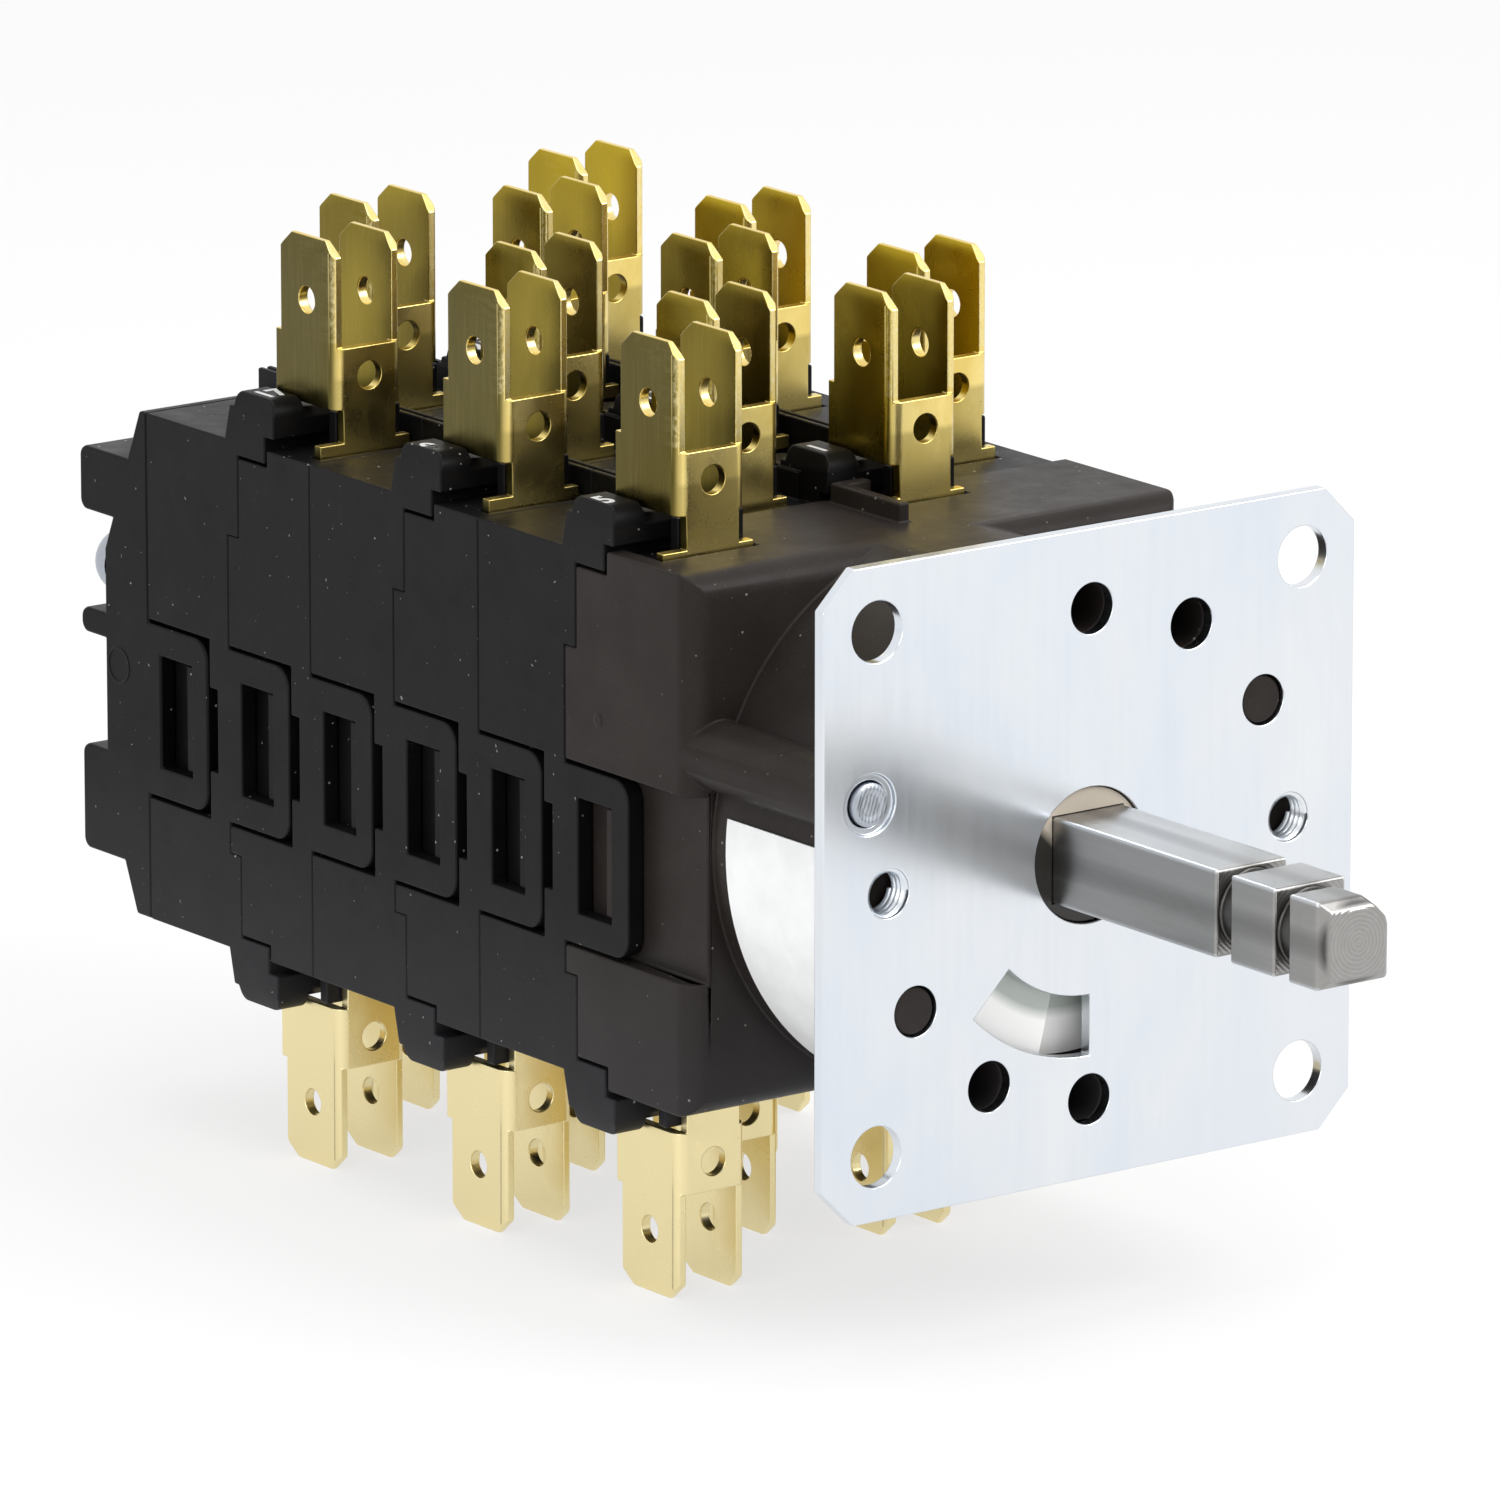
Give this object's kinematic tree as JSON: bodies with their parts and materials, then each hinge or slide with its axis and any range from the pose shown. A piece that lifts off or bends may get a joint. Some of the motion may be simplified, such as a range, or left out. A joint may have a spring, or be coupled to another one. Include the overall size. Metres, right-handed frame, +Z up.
{
  "type": "rotary cam switch",
  "caption": "Panel-mounted rotary cam switch: square front plate, square shaft, stacked contact stages between tie rods, and forked push-on blade terminals above and below.",
  "frame": {"origin": "centre of the square front plate's front face, on the shaft's axis", "axes": "+X right and +Z up as seen from the front, +Y back through the stages"},
  "size_m": [0.045, 0.1179, 0.0668],
  "materials": {
    "plate_zinc": "zinc plated, satin",
    "housing_plastic": "moulded, fine matte",
    "deck_plastic": "moulded, semi-matte",
    "cover_plastic": "moulded, semi-matte",
    "label_film": "plain white film",
    "terminal_brass": "stamped, dull",
    "shaft_steel": "satin, drawn",
    "rod_steel": "zinc plated",
    "stop_steel": "zinc plated",
    "spring_steel": "bright spring strip",
    "cam_nylon": "natural white, satin",
    "slide_nylon": "natural white, satin",
    "wheel_nylon": "natural white, satin"
  },
  "bodies": {
    "housing": {"mounting_plate": "plate_zinc", "latch_housing": "housing_plastic", "label_band": "label_film", "stage_2": "deck_plastic", "stage_3": "deck_plastic", "stage_4": "deck_plastic", "stage_5": "deck_plastic", "stage_6": "deck_plastic", "end_cover": "cover_plastic", "tie_rod_left": "rod_steel", "tie_rod_right": "rod_steel", "stop_ring": "stop_steel", "index_spring_upper": "spring_steel", "index_spring_lower": "spring_steel", "terminal_top_left_1": "terminal_brass", "terminal_top_left_2": "terminal_brass", "terminal_top_left_3": "terminal_brass", "terminal_top_left_4": "terminal_brass", "terminal_top_left_5": "terminal_brass", "terminal_top_left_6": "terminal_brass", "terminal_top_right_1": "terminal_brass", "terminal_top_right_2": "terminal_brass", "terminal_top_right_3": "terminal_brass", "terminal_top_right_4": "terminal_brass", "terminal_top_right_5": "terminal_brass", "terminal_top_right_6": "terminal_brass", "terminal_bottom_left_1": "terminal_brass", "terminal_bottom_left_2": "terminal_brass", "terminal_bottom_left_3": "terminal_brass", "terminal_bottom_left_4": "terminal_brass", "terminal_bottom_left_5": "terminal_brass", "terminal_bottom_left_6": "terminal_brass", "terminal_bottom_right_1": "terminal_brass", "terminal_bottom_right_2": "terminal_brass", "terminal_bottom_right_3": "terminal_brass", "terminal_bottom_right_4": "terminal_brass", "terminal_bottom_right_5": "terminal_brass", "terminal_bottom_right_6": "terminal_brass"},
    "rotor": {"drive_shaft": "shaft_steel", "index_wheel": "wheel_nylon", "cam_1": "cam_nylon", "cam_2": "cam_nylon", "cam_3": "cam_nylon", "cam_4": "cam_nylon", "cam_5": "cam_nylon", "cam_6": "cam_nylon"},
    "slide_left_1": {"contact_slide_left_1": "slide_nylon"},
    "slide_left_2": {"contact_slide_left_2": "slide_nylon"},
    "slide_left_3": {"contact_slide_left_3": "slide_nylon"},
    "slide_left_4": {"contact_slide_left_4": "slide_nylon"},
    "slide_left_5": {"contact_slide_left_5": "slide_nylon"},
    "slide_left_6": {"contact_slide_left_6": "slide_nylon"},
    "slide_right_1": {"contact_slide_right_1": "slide_nylon"},
    "slide_right_2": {"contact_slide_right_2": "slide_nylon"},
    "slide_right_3": {"contact_slide_right_3": "slide_nylon"},
    "slide_right_4": {"contact_slide_right_4": "slide_nylon"},
    "slide_right_5": {"contact_slide_right_5": "slide_nylon"},
    "slide_right_6": {"contact_slide_right_6": "slide_nylon"}
  },
  "joints": [
    {"name": "shaft", "type": "hinge", "parent": "housing", "child": "rotor", "pos_m": [0, 0, 0], "axis": [0, 1, 0], "range_deg": [0, 60], "deforming": ["index_spring_upper", "index_spring_lower"]},
    {"name": "contact_left_1", "type": "slide", "parent": "housing", "child": "slide_left_1", "axis": [-1, 0, 0], "range_m": [0, 0.0012]},
    {"name": "contact_left_2", "type": "slide", "parent": "housing", "child": "slide_left_2", "axis": [1, 0, 0], "range_m": [0, 0.0012]},
    {"name": "contact_left_3", "type": "slide", "parent": "housing", "child": "slide_left_3", "axis": [-1, 0, 0], "range_m": [0, 0.0012]},
    {"name": "contact_left_4", "type": "slide", "parent": "housing", "child": "slide_left_4", "axis": [1, 0, 0], "range_m": [0, 0.0012]},
    {"name": "contact_left_5", "type": "slide", "parent": "housing", "child": "slide_left_5", "axis": [-1, 0, 0], "range_m": [0, 0.0012]},
    {"name": "contact_left_6", "type": "slide", "parent": "housing", "child": "slide_left_6", "axis": [1, 0, 0], "range_m": [0, 0.0012]},
    {"name": "contact_right_1", "type": "slide", "parent": "housing", "child": "slide_right_1", "axis": [-1, 0, 0], "range_m": [0, 0.0012]},
    {"name": "contact_right_2", "type": "slide", "parent": "housing", "child": "slide_right_2", "axis": [1, 0, 0], "range_m": [0, 0.0012]},
    {"name": "contact_right_3", "type": "slide", "parent": "housing", "child": "slide_right_3", "axis": [-1, 0, 0], "range_m": [0, 0.0012]},
    {"name": "contact_right_4", "type": "slide", "parent": "housing", "child": "slide_right_4", "axis": [1, 0, 0], "range_m": [0, 0.0012]},
    {"name": "contact_right_5", "type": "slide", "parent": "housing", "child": "slide_right_5", "axis": [-1, 0, 0], "range_m": [0, 0.0012]},
    {"name": "contact_right_6", "type": "slide", "parent": "housing", "child": "slide_right_6", "axis": [1, 0, 0], "range_m": [0, 0.0012]}
  ],
  "couplings": [
    {"joint": "contact_left_1", "follows": "shaft", "m_per_rad": 0.0011459},
    {"joint": "contact_left_2", "follows": "shaft", "m_per_rad": 0.0011459},
    {"joint": "contact_left_3", "follows": "shaft", "m_per_rad": 0.0011459},
    {"joint": "contact_left_4", "follows": "shaft", "m_per_rad": 0.0011459},
    {"joint": "contact_left_5", "follows": "shaft", "m_per_rad": 0.0011459},
    {"joint": "contact_left_6", "follows": "shaft", "m_per_rad": 0.0011459},
    {"joint": "contact_right_1", "follows": "shaft", "m_per_rad": 0.0011459},
    {"joint": "contact_right_2", "follows": "shaft", "m_per_rad": 0.0011459},
    {"joint": "contact_right_3", "follows": "shaft", "m_per_rad": 0.0011459},
    {"joint": "contact_right_4", "follows": "shaft", "m_per_rad": 0.0011459},
    {"joint": "contact_right_5", "follows": "shaft", "m_per_rad": 0.0011459},
    {"joint": "contact_right_6", "follows": "shaft", "m_per_rad": 0.0011459}
  ]
}
